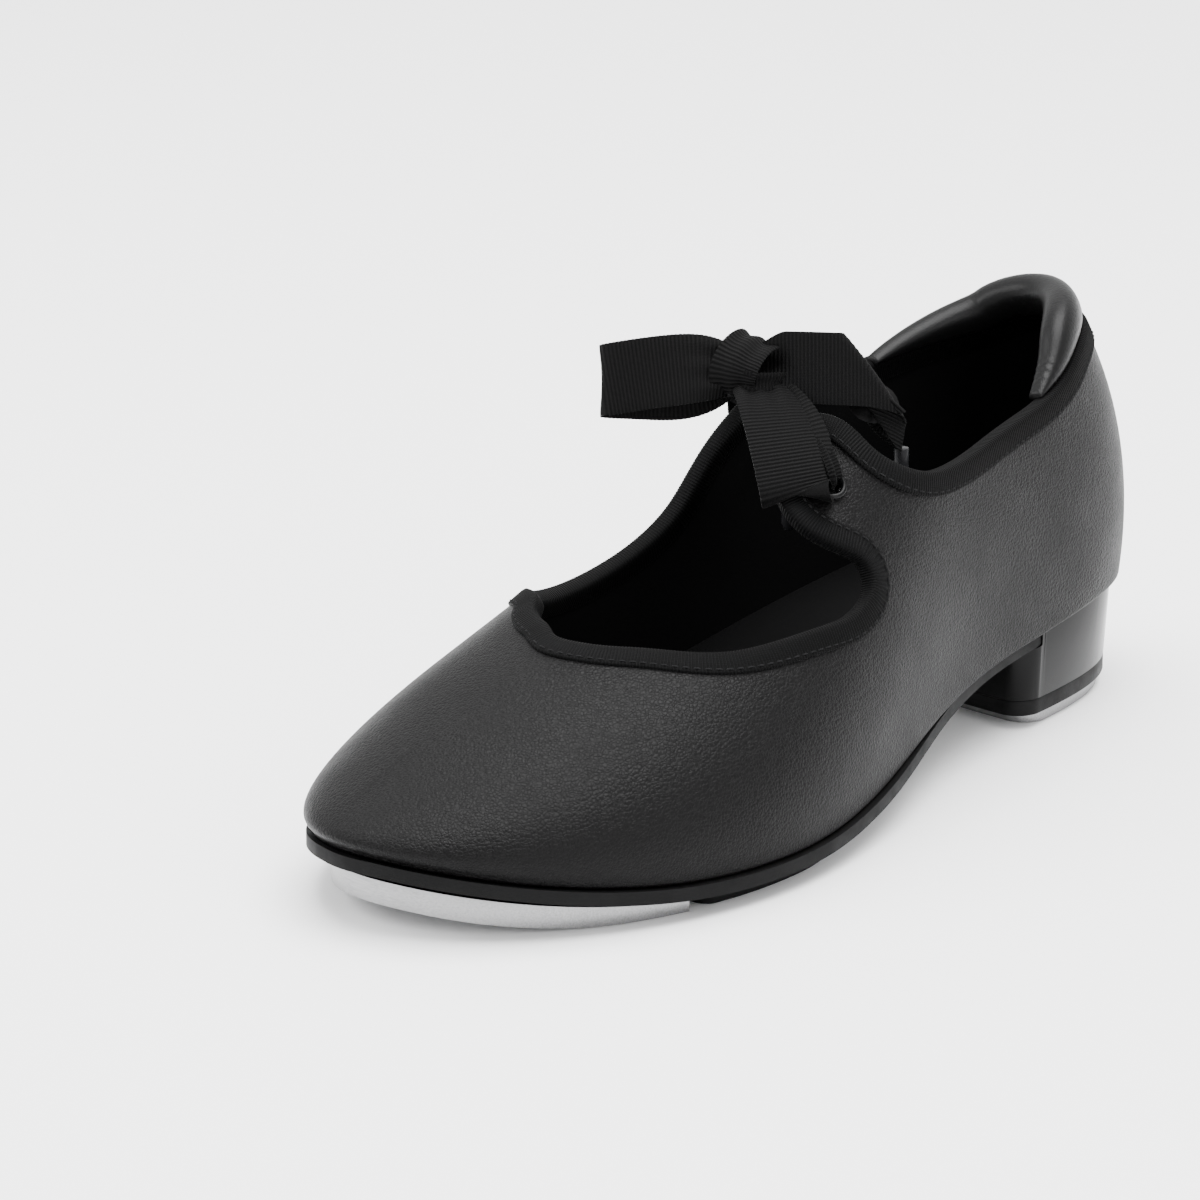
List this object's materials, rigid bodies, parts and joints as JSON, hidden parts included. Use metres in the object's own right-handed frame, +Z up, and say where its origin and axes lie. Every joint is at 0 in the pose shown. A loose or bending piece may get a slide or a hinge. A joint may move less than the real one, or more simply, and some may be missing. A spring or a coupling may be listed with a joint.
{
  "type": "tap shoe",
  "caption": "Low-heeled left tap shoe with a smooth leather upper, bound topline, padded collar, ribbon tie over an open instep, and metal taps under toe and heel.",
  "frame": {"origin": "on the ground, under the middle of the shoe's bounding box", "axes": "+Z up, +Y from the toe towards the heel, +X towards the outer side of the left foot"},
  "size_m": [0.0968, 0.2532, 0.1069],
  "materials": {
    "leather": "fine-grained, satin, charcoal black",
    "collar_leather": "smooth soft coated leather, semi-gloss",
    "lining": "brushed knit, matt black",
    "ribbon": "ribbed grosgrain, black",
    "fibreboard": "matt fibreboard",
    "foam": "matt foam",
    "rubber": "matt moulded rubber, black",
    "heel_gloss": "polished black covering",
    "enamel": "black enamelled brass, glossy",
    "aglet_plastic": "glossy black film",
    "tap_aluminium": "brushed, lightly worn",
    "steel": "zinc plated"
  },
  "bodies": {
    "root": {"upper": "leather", "toe_puff": "fibreboard", "heel_counter": "fibreboard", "vamp_lining": "lining", "quarter_lining": "lining", "topline_binding": "ribbon", "collar_pad": "collar_leather", "eyelet_outer": "enamel", "eyelet_inner": "enamel", "insole_board": "fibreboard", "sock_lining": "lining", "sole_filler": "foam", "shank": "steel", "shank_rivet_1": "steel", "shank_rivet_2": "steel", "outsole": "rubber", "sole_grip_pad": "rubber", "toe_tap_board": "fibreboard", "toe_tap": "tap_aluminium", "toe_tap_screw_1": "steel", "toe_tap_screw_2": "steel", "toe_tap_screw_3": "steel", "heel_block": "heel_gloss", "heel_top_lift": "rubber", "heel_tap": "tap_aluminium", "heel_tap_screw_1": "steel", "heel_tap_screw_2": "steel", "heel_tap_screw_3": "steel", "heel_nail_1": "steel", "heel_nail_2": "steel", "heel_nail_3": "steel", "heel_nail_4": "steel", "ribbon_tie": "ribbon", "aglet_1": "aglet_plastic", "aglet_2": "aglet_plastic"}
  },
  "joints": []
}
